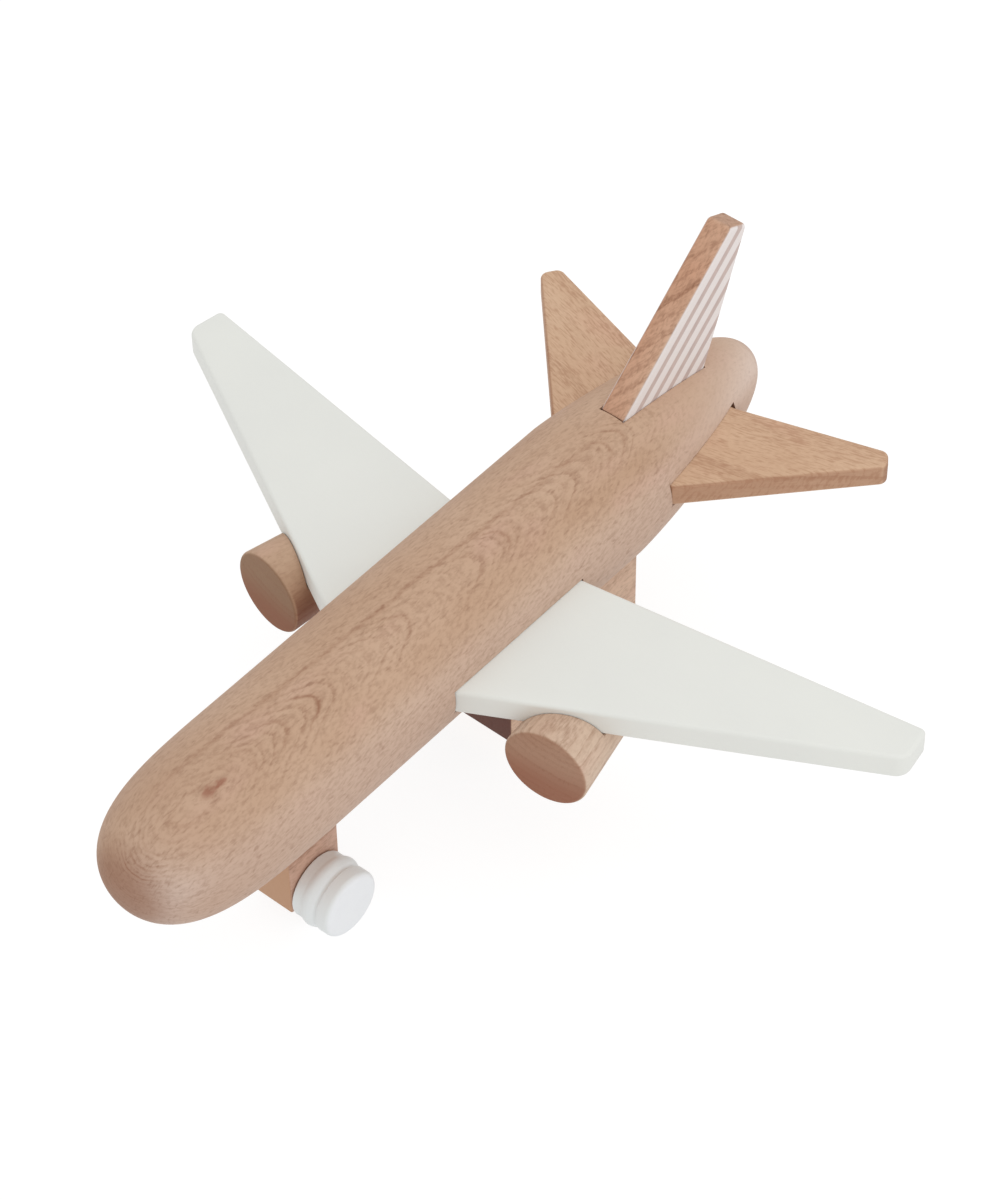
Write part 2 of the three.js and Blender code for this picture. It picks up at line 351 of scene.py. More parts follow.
class Wood:
    """A piece of beech with its grain along one direction and its flat-sawn face outward.

    u runs across the grain, v outward and w along the grain, from the origin. depth is how
    far out through the rings a point lies. fine is the mixture of fine marks, about 0. on_end
    is 1 on sawn ends, and on_edge is 1 on faces that are turned across the grain.
    """

    def __init__(self, name, along, outward, origin, seed, bow, tilt, wander):
        along = Vector(along).normalized()
        outward = Vector(outward)
        outward = (outward - along * outward.dot(along)).normalized()
        across = along.cross(outward)
        origin = Vector(origin)
        self.graph = Graph(name)
        self.seed = seed
        self.place = self.graph.place()
        self.w = self.graph.dot(self.place, along) - along.dot(origin)
        self.u = self.graph.dot(self.place, across) - across.dot(origin)
        self.v = self.graph.dot(self.place, outward) - outward.dot(origin)
        self.normal = self.graph.normal()
        self.on_end = self.graph.step(abs(self.graph.dot(self.normal, along)), 0.5, 1.0)
        self.on_edge = self.graph.step(abs(self.graph.dot(self.normal, across)), 0.6, 0.95)
        self.depth = self.ring_depth(bow, tilt, wander)
        self.fine = self.fine_marks()

    def noise(self, size, shift, **settings):
        """Noise with features of a size given as (across the grain, along the grain)."""
        across, lengthwise = size
        places = (self.u / across, self.v / across, self.w / lengthwise)
        moved = [place + distance for place, distance in zip(places, shift)]
        return self.graph.noise(*moved, **settings)

    def ring_depth(self, bow, tilt, wander):
        """Rings bow down to the sides, rise along the grain and stray, slowly and in ripples."""
        drop, half_way = bow
        slow_wander = wander * 2.2
        fourth = self.u * self.u * self.u * self.u
        bowed = fourth * drop / (fourth + half_way ** 4)
        stray = self.noise(STRAY, (self.seed, 0, 0)) * slow_wander
        ripple = self.noise(RIPPLE, (0, self.seed, 0), detail=3, roughness=0.62) * wander
        return self.v - bowed - self.w * tilt + stray + ripple

    def late_wood(self, spacing, figure_width):
        """How dark the rings' late wood is, from 0 up.

        No two rings are alike: their widths are uneven, and each has a vigour of its own.
        """
        graph = self.graph
        unevenness = 0.7
        faintest, range_of_vigour = 0.2, 1.1
        side_fading = 0.8
        uneven = graph.noise(self.depth / (spacing * 3), self.seed, 9.2) * unevenness
        phase = self.depth / spacing + uneven
        ring = graph.fraction(phase)
        late = graph.step(ring, *LATE_DARKENS) * (1 - graph.step(ring, *LATE_ENDS))
        number = graph.math("FLOOR", phase)
        liveliness = graph.noise(number * 0.77, self.seed + 4.0, 1.5, detail=0)
        vigour = graph.step(liveliness, -0.5, 0.7) * range_of_vigour + faintest
        beside = graph.step(abs(self.u), figure_width * 0.4, figure_width)
        return late * vigour * (1 - beside * side_fading)

    def fine_marks(self):
        """Strokes that follow the rings, fibres along the grain, and specks."""
        seed = self.seed
        deep, across, lengthwise = STROKE
        stroke = self.graph.noise(
            self.depth / deep + seed, self.u / across, self.w / lengthwise, roughness=0.6,
        )
        fibre = self.noise(FIBRE, (0, 0, seed), detail=3, roughness=0.65)
        speck = self.noise(SPECK, (0, seed, 0), roughness=0.6)
        return stroke * FINE["stroke"] + fibre * FINE["fibre"] + speck * FINE["speck"]

    def rays(self, fleck, late):
        """Short dark flecks along the grain, a little more of them in late wood."""
        width, length, rarity = fleck
        softness = 0.42
        ray = self.graph.noise(
            self.u / width, self.w / length, self.v / (length * 0.8) + self.seed, detail=1,
        )
        return self.graph.step(ray + late * 0.25, rarity, rarity + softness)

    def ground(self, tones):
        """The wood's colour before its rings and marks are laid on.

        Routed edges are redder, and sawn ends drink more of the finish and go darker.
        """
        graph = self.graph
        cloud = self.noise(CLOUD, (self.seed, 0, 0))
        blush = graph.step(self.noise(BLUSH, (0, self.seed, 0), detail=1), 0.0, 0.7)
        colour = graph.mix(cloud * 0.9 + 0.5, tones["light"], tones["dark"])
        colour = graph.mix(blush * PINK_SHARE, colour, tones["pink"])
        # The flank tone is painted sheen: the body's lower port side is paler and cooler, as if lit
        # there.
        if "flank" in tones:
            lower = 1 - graph.step(self.v, *SHEEN_FLANK_TOP)
            flank = lower * graph.step(self.u, *SHEEN_FLANK_SIDE)
            colour = graph.mix(flank * PAINTED_SHEEN_SHARE, colour, tones["flank"])
        colour = graph.mix(self.on_edge * EDGE_SHARE, colour, tones["edge"])
        return graph.mix(self.on_end * END_SHARE, colour, tones["end"])


def beech(name, along, outward, origin, seed, spacing=2.0, tilt=0.0, bow=(0.4, 12),
          wander=0.4, figure_width=30, ring_strength=0.3, fleck=(0.35, 2.4, 0.2),
          fleck_strength=0.4, speckle=0.3, faded=None, tones=None, mark=None):
    """A beech material, from how one piece of the wood differs from another.

    Rings are spacing apart across the outward direction. bow is how far a ring drops from
    its crest, and how far to the side it has dropped by half of that. tilt is how fast the
    rings rise along the grain, which draws arches, and wander is how far they stray. The
    arches grow faint figure_width away from their middle. fleck is a ray's width, its length
    and how rare rays are. The figure fades away, and the fine marks partly, between the two
    places along the grain in faded. mark(wood, colour) paints on top.
    """
    tones = {**BEECH, **(tones or {})}
    wood = Wood(name, along, outward, origin, seed, bow, tilt, wander)
    graph, fine = wood.graph, wood.fine
    shown = 1
    if faded:
        shown = 1 - graph.step(wood.w, *faded)
    least_marks = 0.4
    marks_shown = shown * (1 - least_marks) + least_marks
    late = wood.late_wood(spacing, figure_width) * shown
    rays = wood.rays(fleck, late)

    colour = wood.ground(tones)
    speckled = graph.step(fine, -0.2, 0.45) * speckle
    colour = graph.mix(speckled * marks_shown, colour, tones["fleck"])
    late = late * graph.step(fine, -0.6, 0.2)
    colour = graph.mix(late * ring_strength, colour, tones["ring"])
    colour = graph.mix(rays * fleck_strength * marks_shown, colour, tones["fleck"])
    if mark:
        colour = mark(wood, colour)

    # The wood hardly shines, and its dark marks lie a little lower.
    shine = 0.2
    graph.surface.inputs["Specular IOR Level"].default_value = shine
    roughness = fine * 0.06 + 0.55
    relief = 0 - fine * 0.4 - late * 0.3 - rays * 0.3
    return graph.finish(colour, roughness, relief, relief_height=0.012)


def fuselage_beech():
    """Arches run aft along the top, to port of the middle, and close into ovals on the nose.

    A dark line borders the arches to starboard and nears their middle as it runs aft, and
    a small reddish knot in two parts lies near the nose, where the wood is a little darker.
    """
    lean = math.radians(17)
    outward = Vector((math.sin(lean), 0, math.cos(lean)))
    tilt = 0.176
    # Each arch that stands out has a place along the grain and a strength.
    arches = (
        (-65.5, 0.2), (-55.5, 0.4), (-47, 0.6), (-31.5, 0.15), (-19.5, 0.25),
        (12.3, 0.4), (40, 0.15), (45.3, 0.35), (51, 0.25),
    )
    arch_half_thickness = 0.22
    arch_ends = (2, 4.5)
    # Each part of the knot has a place along the grain, a length and a width.
    knots = ((-78.3, 1.9, 1.3), (-75, 1.7, 0.9))
    knot_red = srgb(146, 86, 64)
    knot_share = 0.7
    # The line starts this far across the grain, at the nose's tip, and nears the middle going aft.
    line = {"start": -8.9, "slope": 0.043, "width": 0.95}
    line_begins = (-88, -73)
    line_ends = (33, 48)
    darker_nose = (-90, -50)
    nose_brown = srgb(150, 104, 80)
    nose_share = 0.12

    # The wood's fine marks break up the arches, the line and the knot.
    def arched(wood, colour):
        graph = wood.graph
        near = 1 - graph.step(abs(wood.u), *arch_ends)
        for place, strength in arches:
            crest = BODY_RADIUS - place * tilt
            shade = (1 - graph.step(abs(wood.depth - crest), 0, arch_half_thickness)) * near
            colour = graph.mix(shade * (wood.fine + 0.9) * strength, colour, BEECH["ring"])
        return colour

    def lined(wood, colour, on_top):
        graph = wood.graph
        wobble = graph.noise(wood.w / 6, 1.7, 4.4, detail=4) * 0.8 + wood.fine * 0.3
        course = (wood.w - NOSE_TIP) * line["slope"] + line["start"]
        off_line = abs(wood.u - course + wobble)
        lengthwise = graph.step(wood.w, *line_begins) * (1 - graph.step(wood.w, *line_ends))
        shown = (1 - graph.step(off_line, 0, line["width"])) * lengthwise
        return graph.mix(shown * on_top * (wood.fine * 0.5 + 0.3), colour, BEECH["ring"])

    def knotted(wood, colour, on_top):
        graph = wood.graph
        for place, length, width in knots:
            away = graph.length(wood.u / width, (wood.w - place) / length) + wood.fine * 1.2
            spot = (1 - graph.step(away, 0.2, 1.3)) * on_top
            colour = graph.mix(spot * knot_share, colour, knot_red)
        return colour

    def marked(wood, colour):
        on_top = wood.graph.step(wood.v, 0, 5)
        colour = arched(wood, colour)
        colour = lined(wood, colour, on_top)
        colour = knotted(wood, colour, on_top)
        nose = 1 - wood.graph.step(wood.w, *darker_nose)
        return wood.graph.mix(nose * nose_share, colour, nose_brown)

    return beech(
        "body_beech", AFT, outward, (0, 0, AXIS_HEIGHT), seed=3,
        spacing=0.72, tilt=tilt, bow=(0.9, 3.7), wander=0.26, figure_width=7.5,
        ring_strength=0.2, fleck=(0.45, 2.0, 0.15), fleck_strength=0.28, speckle=0.3,
        # The flank tone is painted sheen on the body's lower port side.
        faded=(50, 75), tones={"flank": srgb(226, 207, 195)}, mark=marked,
    )


def stabilizer_beech(side):
    """The grain runs along the trailing edge, with short brown rays all over the face."""
    (root_x, root_y), (tip_x, tip_y) = STABILIZER["rear_root"], STABILIZER["rear_tip"]
    along = (side * (tip_x - root_x), tip_y - root_y, 0)
    origin = (side * root_x, root_y, AXIS_HEIGHT + STABILIZER["top"])
    tones = {
        "light": srgb(221, 188, 158),
        "dark": srgb(207, 170, 139),
        "pink": srgb(218, 177, 150),
        "edge": srgb(158, 106, 80),
        "fleck": srgb(160, 108, 78),
    }
    return beech(
        f"stabilizer_beech_{side}", along, (0.2, 0.3, 1), origin, seed=11 + side,
        spacing=3.0, ring_strength=0.15, fleck=(0.32, 2.6, 0.0), fleck_strength=0.34,
        speckle=0.2, tones=tones,
    )


def fin_beech():
    """Beech with white stripes painted on both sides, parallel to the leading edge."""
    (foot_y, foot_z), (tip_y, tip_z) = FIN["front_foot"], FIN["front_tip"]
    leading = Vector((0, tip_y - foot_y, tip_z - foot_z)).normalized()
    behind = Vector((0, leading.z, -leading.y))
    foot = Vector((0, foot_y, foot_z + AXIS_HEIGHT))
    # The stripes' pitch and width, and the width of their soft edges.
    pitch = 4.05
    width = 2.85
    soft = 0.4
    # The wood between the stripes is stained pale.
    paint = srgb(236, 228, 225)
    stain = srgb(206, 192, 190)
    stain_share = 0.75

    def striped(wood, colour):
        graph = wood.graph
        back = graph.dot(wood.place, behind) - behind.dot(foot)
        offset = graph.fraction(back / pitch) * pitch
        inside = graph.step(offset, 0, soft) * (1 - graph.step(offset, width - soft, width))
        sideways = graph.step(abs(graph.dot(wood.normal, ACROSS)), 0.25, 0.8)
        flank = sideways * graph.step(back, 0, soft)
        tinted = graph.mix(flank * stain_share, colour, stain)
        return graph.mix(inside * flank, tinted, paint)

    tones = {
        "light": srgb(220, 186, 160),
        "dark": srgb(190, 139, 108),
        "pink": srgb(218, 160, 130),
        "edge": srgb(204, 153, 124),
        "end": srgb(188, 152, 130),
    }
    return beech(
        "fin_beech", leading, (0.75, -0.3, 0.5), foot, seed=21,
        spacing=2.8, tilt=0.5, ring_strength=0.6, fleck_strength=0.4, speckle=0.4,
        tones=tones, mark=striped,
    )


# The engines are one wood: the starboard tones are darker as painted shade, the port ones lighter as
# painted light.
LIT_AND_SHADED_ENGINE_TONES = {
    "port": {
        "light": srgb(222, 200, 180),
        "dark": srgb(208, 178, 154),
        "edge": srgb(215, 190, 168),
        "end": srgb(162, 118, 92),
    },
    "starboard": {
        "light": srgb(200, 169, 143),
        "dark": srgb(183, 146, 118),
        "edge": srgb(190, 158, 132),
        "end": srgb(140, 106, 78),
    },
}


def engine_beech(label, side):
    """The face is dark and its lower half redder, like the flank that faces the fuselage: painted
    shade.

    That flank is darkest in the nook in front of the wing, where the painted shade is deepest.
    """
    along = (side * -math.sin(ENGINE["splay"]), math.cos(ENGINE["splay"]), 0)
    centre_height = AXIS_HEIGHT + ENGINE["height"]
    origin = (side * ENGINE["outboard"], ENGINE["front"], centre_height)
    facing_fuselage = (-side, 0, -0.3)
    face_shade_share = 0.55
    flank_shade_share = 0.4
    nook_shade_share = 0.4
    nook_shade_length = (4, 14)
    red = srgb(140, 74, 48)
    shade_dark_red = srgb(104, 44, 32)

    def shaded_red(wood, colour):
        graph = wood.graph
        height = graph.dot(wood.place, UP) - centre_height
        below = 1 - graph.step(height + wood.fine * 3, -6, 4)
        inside = graph.dot(wood.normal, facing_fuselage)
        flank = graph.step(inside, 0.3, 1.0)
        # Painted shade: the face's lower half and the flank facing the fuselage go red and dark.
        share = below * wood.on_end * face_shade_share + flank * flank_shade_share
        colour = graph.mix(share, colour, red)
        # Painted shade, deepest in the nook in front of the wing.
        nook = graph.step(inside, 0.6, 0.95) * (1 - graph.step(wood.w, *nook_shade_length))
        return graph.mix(nook * nook_shade_share, colour, shade_dark_red)

    return beech(
        f"engine_beech_{side}", along, (0.2, 0, 1), origin, seed=31 + side,
        spacing=2.0, bow=(2, 8), ring_strength=0.2, fleck_strength=0.22, speckle=0.2,
        tones=LIT_AND_SHADED_ENGINE_TONES[label], mark=shaded_red,
    )


GEAR_TONES = {
    "nose": {
        "light": srgb(212, 176, 156),
        "dark": srgb(196, 154, 132),
        "front": srgb(200, 158, 126),
    },
    "main": {
        "light": srgb(222, 192, 168),
        "dark": srgb(208, 172, 146),
        # The main block's front tone is painted shade; the nose block's front tone is the wood's own.
        "front": srgb(86, 46, 42),
    },
}
GEAR_SEEDS = {"nose": 41, "main": 42}


def block_beech(label, centre):
    """The main block's front is much darker than its other faces: painted shade, as under the wing.
    """
    tones = GEAR_TONES[label]
    front_tone_and_shade_share = 0.85

    def front_toned_and_shaded(wood, colour):
        ahead = wood.graph.step(wood.graph.dot(wood.normal, (0, -1, 0)), 0.5, 1.0)
        return wood.graph.mix(ahead * front_tone_and_shade_share, colour, tones["front"])

    return beech(
        f"{label}_block_beech", AFT, (1, 0, 0.3), centre, seed=GEAR_SEEDS[label],
        spacing=2.4, ring_strength=0.3, fleck_strength=0.4, tones=tones, mark=front_toned_and_shaded,
    )


def peg_beech():
    """Pegs are cut along the grain and stand upright."""
    return beech("peg_beech", UP, ACROSS, (0, 0, 0), seed=51, spacing=1.6, fleck_strength=0.4)


# ---------------------------------------------------------------- paint, plastic and steel

def wing_paint():
    """Satin white paint: the board's grain shows through as a faint relief."""
    graph = Graph("wing_paint")
    x, y, z = graph.axes()
    mottle = graph.noise(x / 18, y / 18, z / 18)
    orange_peel = graph.noise(x / 0.9, y / 0.9, z / 0.9)
    grain = graph.noise(x / 12, y / 0.7, z / 0.7, detail=3)
    colour = graph.mix(mottle * 0.5 + 0.5, srgb(236, 237, 231), srgb(231, 232, 227))
    roughness = mottle * 0.04 + orange_peel * 0.04 + 0.4
    relief = orange_peel * 0.4 + grain * 0.6
    return graph.finish(colour, roughness, relief, relief_height=0.02)


def wheel_plastic():
    """Moulded white plastic: the faces are smooth, and the tread is a little darker and greener, as
    painted shade.
    """
    graph = Graph("wheel_plastic")
    x, y, z = graph.axes()
    cloud = graph.noise(x / 4, y / 4, z / 4)
    fine = graph.noise(x / 0.35, y / 0.35, z / 0.35)
    face = graph.mix(cloud * 0.5 + 0.5, srgb(241, 243, 245), srgb(236, 238, 241))
    on_face = graph.step(abs(graph.dot(graph.normal(), ACROSS)), 0.4, 0.9)
    # Painted shade: the tread is darker and greener than the faces.
    colour = graph.mix(on_face, srgb(233, 237, 237), face)
    roughness = cloud * 0.05 + fine * 0.04 + 0.36
    return graph.finish(colour, roughness, fine, relief_height=0.01)


def axle_steel():
    """Drawn steel: fine lines run along the rod."""
    graph = Graph("axle_steel")
    x, y, z = graph.axes()
    lines = graph.noise(x / 6, y / 0.08, z / 0.08)
    colour = graph.mix(lines * 0.4 + 0.5, srgb(190, 192, 196), srgb(165, 167, 172))
    graph.surface.inputs["Metallic"].default_value = 1
    return graph.finish(colour, lines * 0.08 + 0.32, lines, relief_height=0.004)


# ---------------------------------------------------------------- meshes

def closed_mesh(name, points, faces):
    """A mesh in metres from points in millimetres, with its faces turned outwards."""
    mesh = bpy.data.meshes.new(name)
    mesh.from_pydata([Vector(point) * MM for point in points], [], faces)
    work = bmesh.new()
    work.from_mesh(mesh)
    bmesh.ops.recalc_face_normals(work, faces=work.faces)
    work.to_mesh(mesh)
    work.free()
    return mesh


def add_object(name, mesh):
    made = bpy.data.objects.new(name, mesh)
    bpy.context.scene.collection.objects.link(made)
    return made


def lathe(name, profile, segments, turn=Matrix.Identity(4)):
    """A solid turned about the local z axis from a profile of (radius, height) pairs.

    The profile starts and ends on the axis, and turn places the solid, in millimetres.
    """
    (_, start), *rings, (_, end) = profile
    points = [turn @ Vector((0, 0, start)), turn @ Vector((0, 0, end))]
    for radius, height in rings:
        for i in range(segments):
            angle = math.tau * i / segments
            flat = Vector((radius * math.cos(angle), radius * math.sin(angle), height))
            points.append(turn @ flat)

    def ring_index(ring, i):
        return 2 + ring * segments + i % segments

    last = len(rings) - 1
    faces = []
    for i in range(segments):
        faces.append((0, ring_index(0, i), ring_index(0, i + 1)))
        faces.append((1, ring_index(last, i + 1), ring_index(last, i)))
        for ring in range(last):
            faces.append((
                ring_index(ring, i),
                ring_index(ring + 1, i),
                ring_index(ring + 1, i + 1),
                ring_index(ring, i + 1),
            ))
    return closed_mesh(name, points, faces)


def arc(centre, radius, start, end, steps):
    """Points on a circular arc between two angles."""
    points = []
    for i in range(steps + 1):
        angle = start + (end - start) * i / steps
        points.append((centre[0] + radius * math.cos(angle), centre[1] + radius * math.sin(angle)))
    return points


def rounded_outline(corners):
    """A closed outline through (x, y, radius) corners, as a list of points."""
    outline = []
    for i, (x, y, radius) in enumerate(corners):
        here = Vector((x, y))
        back = (Vector(corners[i - 1][:2]) - here).normalized()
        ahead = (Vector(corners[(i + 1) % len(corners)][:2]) - here).normalized()
        if not radius:
            outline.append(here)
            continue
        half_angle = back.angle(ahead) / 2
        middle = (back + ahead).normalized()
        centre = here + middle * (radius / math.sin(half_angle))
        first = here + back * (radius / math.tan(half_angle)) - centre
        sweep = first.angle_signed(here + ahead * (radius / math.tan(half_angle)) - centre)
        for step in range(CORNER_STEPS + 1):
            turn = Matrix.Rotation(-sweep * step / CORNER_STEPS, 2)
            outline.append(centre + turn @ first)
    return outline


def inset(outline, distance):
    """The outline moved inwards; it may run either way round."""
    area = sum(a.x * b.y - b.x * a.y for a, b in zip(outline, outline[1:] + outline[:1]))
    inward = math.copysign(distance, area)
    moved = []
    for i, here in enumerate(outline):
        back = (here - outline[i - 1]).normalized()
        ahead = (outline[(i + 1) % len(outline)] - here).normalized()
        normals = Vector((-back.y, back.x)) + Vector((-ahead.y, ahead.x))
        moved.append(here + normals * (inward / (1 + back.dot(ahead))))
    return moved


def board(name, outline, thickness, turn=Matrix.Identity(4)):
    """A flat board with rounded edges: the outline at height 0, then upwards."""
    steps = 7
    rings = []
    for i in range(steps + 1):
        angle = math.pi / 2 * i / steps
        rings.append((BOARD_EDGE * (1 - math.sin(angle)), BOARD_EDGE * (1 - math.cos(angle))))
    rings += [(reach, thickness - height) for reach, height in reversed(rings)]
    points = []
    for reach, height in rings:
        for point in inset(outline, reach):
            points.append(turn @ Vector((point.x, point.y, height)))
    count = len(outline)
    faces = [tuple(range(count)), tuple(range(len(points) - count, len(points)))]
    for ring in range(len(rings) - 1):
        for i in range(count):
            here = ring * count + i
            following = ring * count + (i + 1) % count
            faces.append((here, following, following + count, here + count))
    return closed_mesh(name, points, faces)


def block(name, low, high):
    """A box between two corners, to be cut or to cut with."""
    points = list(itertools.product(*zip(low, high)))
    faces = [(0, 1, 3, 2), (4, 6, 7, 5), (0, 4, 5, 1), (2, 3, 7, 6), (0, 2, 6, 4), (1, 5, 7, 3)]
    return closed_mesh(name, points, faces)


def rod(radius, start, end, segments=CUTTER_SEGMENTS):
    """A plain round bar between two points, to cut with."""
    start = Vector(start)
    along = Vector(end) - start
    turn = Matrix.Translation(start) @ along.to_track_quat("Z", "Y").to_matrix().to_4x4()
    profile = [(0, 0), (radius, 0), (radius, along.length), (0, along.length)]
    return lathe("cutter", profile, segments, turn)


def apply_modifiers(piece):
    """Replaces the piece's mesh by its mesh with the modifiers applied."""
    bpy.context.view_layer.update()
    seen = piece.evaluated_get(bpy.context.evaluated_depsgraph_get())
    finished = bpy.data.meshes.new_from_object(seen)
    piece.modifiers.clear()
    piece.data = finished


def cut(piece, cutters):
    """Takes each cutter's mesh out of the piece."""
    tools = []
    for mesh in cutters:
        tool = add_object("cutter", mesh)
        tools.append(tool)
        difference = piece.modifiers.new("cut", "BOOLEAN")
        difference.operation = "DIFFERENCE"
        difference.solver = "EXACT"
        difference.object = tool
    apply_modifiers(piece)
    for tool in tools:
        bpy.data.objects.remove(tool)


def soften(piece, width):
    """Rounds the piece's sharp edges."""
    bevel = piece.modifiers.new("edges", "BEVEL")
    bevel.width = width * MM
    bevel.segments = 4
    bevel.limit_method = "ANGLE"
    bevel.angle_limit = SHARP
    apply_modifiers(piece)


def complete(piece, material, body, node):
    """Shades the piece, gives it its material, and puts it in a CAD node's place."""
    mesh = piece.data
    mesh.materials.clear()
    mesh.materials.append(material)
    mesh.shade_smooth()
    mesh.set_sharp_from_angle(angle=SHARP)
    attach(piece, body)
    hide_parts(node)


# ---------------------------------------------------------------- fuselage

def end_radius(u, end):
    """The fuselage's radius at u, from 0 at the straight part to 1 at the tip."""
    return BODY_RADIUS * (1 - u ** end["fullness"]) ** (1 / end["roundness"])


def fuselage_profile():
    """(radius, aft) pairs from the nose's tip to the tail's, closer together at the tips."""
    end_steps = 60
    profile = [(0, NOSE_TIP)]
    for i in range(end_steps - 1, -1, -1):
        u = math.sin(math.pi / 2 * i / end_steps)
        profile.append((end_radius(u, NOSE), NOSE_TIP + NOSE["length"] * (1 - u)))
    straight = BODY_LENGTH - NOSE["length"] - TAIL["length"]
    straight_steps = 36
    for i in range(1, straight_steps):
        profile.append((BODY_RADIUS, NOSE_TIP + NOSE["length"] + straight * i / straight_steps))
    for i in range(end_steps):
        u = math.sin(math.pi / 2 * i / end_steps)
        profile.append((end_radius(u, TAIL), TAIL_TIP - TAIL["length"] * (1 - u)))
    profile.append((0, TAIL_TIP))
    return profile


def raise_nose(mesh):
    """The nose is sanded away more below than above, so its tip sits above the axis."""
    for vertex in mesh.vertices:
        ahead = NOSE_TIP + NOSE["length"] - vertex.co.y / MM
        u = max(0, ahead / NOSE["length"])
        vertex.co.z += NOSE_RISE * u * u * MM


def board_slot(part, side):
    """The slot for one side's wing or stabilizer, from its tongue's end outwards."""
    low_z = AXIS_HEIGHT + part["top"] - part["thickness"] - SLOT_GAP
    high_z = AXIS_HEIGHT + part["top"] + SLOT_GAP
    inner, outer = sorted((side * (part["tongue"] - HOLE_GAP), side * CLEAR))
    front = part["front_root"][1] - SLOT_GAP
    rear = part["rear_root"][1] + SLOT_GAP + part["slot_extra"]
    return block("cutter", (inner, front, low_z), (outer, rear, high_z))


def fin_slot():
    """The slot for the fin, from its tongue's end upwards."""
    half = FIN["thickness"] / 2 + SLOT_GAP
    front = FIN["front_foot"][0] - FIN["slot_extra"]
    rear = FIN["rear_foot"][0] + SLOT_GAP
    bottom = AXIS_HEIGHT + FIN["tongue"] - HOLE_GAP
    return block("cutter", (-half, front, bottom), (half, rear, bottom + CLEAR))


def peg_hole(node):
    """A hole for an upright peg, a little wider and longer than the peg's CAD node."""
    low, high = box_mm(node)
    centre = (low + high) / 2
    radius = (high.y - low.y) / 2 + HOLE_GAP
    start = (centre.x, centre.y, low.z - HOLE_GAP)
    return rod(radius, start, (centre.x, centre.y, high.z + HOLE_GAP))


BLOCK_PEGS = {"nose": ("nose_block_dowel",), "main": ("front_block_dowel", "rear_block_dowel")}


def make_fuselage():
    turn = Matrix.Translation((0, 0, AXIS_HEIGHT)) @ LYING
    mesh = lathe("fuselage_body", fuselage_profile(), FUSELAGE_SEGMENTS, turn)
    raise_nose(mesh)
    piece = add_object("fuselage_body", mesh)
    cutters = [fin_slot()]
    for _, side in SIDES:
        cutters += [board_slot(WING, side), board_slot(STABILIZER, side)]
    for pegs in BLOCK_PEGS.values():
        cutters += [peg_hole(node) for node in pegs]
    cut(piece, cutters)
    complete(piece, fuselage_beech(), "airframe", "fuselage")


# ---------------------------------------------------------------- wings, stabilizers and fin

def side_outline(part, side):
    """One side's plan: a straight tongue inside the slot, then the swept panel."""
    (front_x, front_y), (rear_x, rear_y) = part["front_root"], part["rear_root"]
    corners = [
        (part["tongue"], front_y, 0),
        (front_x, front_y, 0),
        (*part["front_tip"], part["front_corner"]),
        (*part["rear_tip"], part["rear_corner"]),
        (rear_x, rear_y, 0),
        (part["tongue"], rear_y, 0),
    ]
    return [Vector((side * point.x, point.y)) for point in rounded_outline(corners)]


def side_board(name, part, side):
    bottom = AXIS_HEIGHT + part["top"] - part["thickness"]
    turn = Matrix.Translation((0, 0, bottom))
    return add_object(name, board(name, side_outline(part, side), part["thickness"], turn))


def make_wing(label, side, paint):
    piece = side_board(f"{label}_wing_board", WING, side)
    cut(piece, [peg_hole(f"{label}_engine_dowel")])
    complete(piece, paint, "airframe", f"{label}_wing")


def make_stabilizer(label, side):
    piece = side_board(f"{label}_stabilizer_board", STABILIZER, side)
    material = stabilizer_beech(side)
    complete(piece, material, "airframe", f"{label}_stabilizer")


def make_fin():
    foot_y, foot_z = FIN["front_foot"]
    outline = rounded_outline([
        (foot_y, FIN["tongue"], 0),
        (FIN["rear_foot"][0], FIN["tongue"], 0),
        (*FIN["rear_foot"], 0),
        (*FIN["rear_tip"], FIN["corner"]),
        (*FIN["front_tip"], FIN["corner"]),
        (foot_y, foot_z, 0),
    ])
    # The outline's x runs aft, its y upwards, and the thickness across.
    upright = Matrix(((0, 0, 1, 0), (1, 0, 0, 0), (0, 1, 0, 0), (0, 0, 0, 1)))
    turn = Matrix.Translation((-FIN["thickness"] / 2, 0, AXIS_HEIGHT)) @ upright
    piece = add_object("tail_fin_board", board("tail_fin_board", outline, FIN["thickness"], turn))
    complete(piece, fin_beech(), "airframe", "tail_fin")


# ---------------------------------------------------------------- engines

def wing_seat(side):
    """The space the wing fills, from its underside up and from its leading edge back."""
    (root_x, root_y), (tip_x, tip_y) = WING["front_root"], WING["front_tip"]
    edge = Vector((tip_x - root_x, tip_y - root_y)).normalized()
    ahead = Vector((edge.y, -edge.x)) * SEAT_GAP
    plan = [
        (root_x + ahead.x, root_y + ahead.y),
        (tip_x + ahead.x, tip_y + ahead.y),
        (tip_x, tip_y + CLEAR),
        (root_x, tip_y + CLEAR),
    ]
    bottom = AXIS_HEIGHT + WING["top"] - WING["thickness"] - SEAT_GAP
    points = [(side * x, y, z) for z in (bottom, bottom + CLEAR) for x, y in plan]
    faces = [(0, 1, 2, 3), (4, 5, 6, 7)]
    faces += [(i, (i + 1) % 4, (i + 1) % 4 + 4, i + 4) for i in range(4)]
    return closed_mesh("cutter", points, faces)


